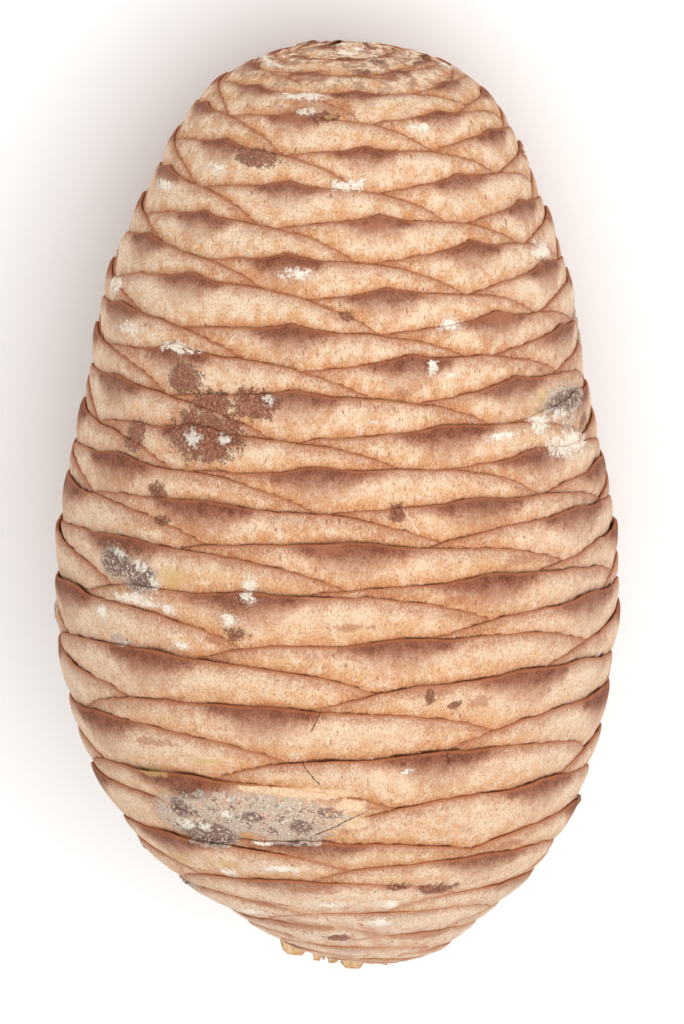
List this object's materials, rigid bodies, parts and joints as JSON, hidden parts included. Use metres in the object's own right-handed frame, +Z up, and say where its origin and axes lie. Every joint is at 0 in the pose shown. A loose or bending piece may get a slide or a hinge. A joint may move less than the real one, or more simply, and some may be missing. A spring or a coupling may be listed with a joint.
{
  "type": "cedar cone",
  "caption": "Closed, barrel-shaped cedar cone with broad, tightly overlapping scales and a torn foot, lying on its side.",
  "frame": {"origin": "on the ground under the middle of the cone's box", "axes": "+Y from the torn foot to the tip, +Z up, away from the ground, with the face that the picture shows on top"},
  "size_m": [0.0566, 0.0944, 0.0565],
  "materials": {
    "scales": "matte, dry and woody, with rust-brown scale edges"
  },
  "bodies": {
    "root": {"cone": "scales"}
  },
  "joints": []
}
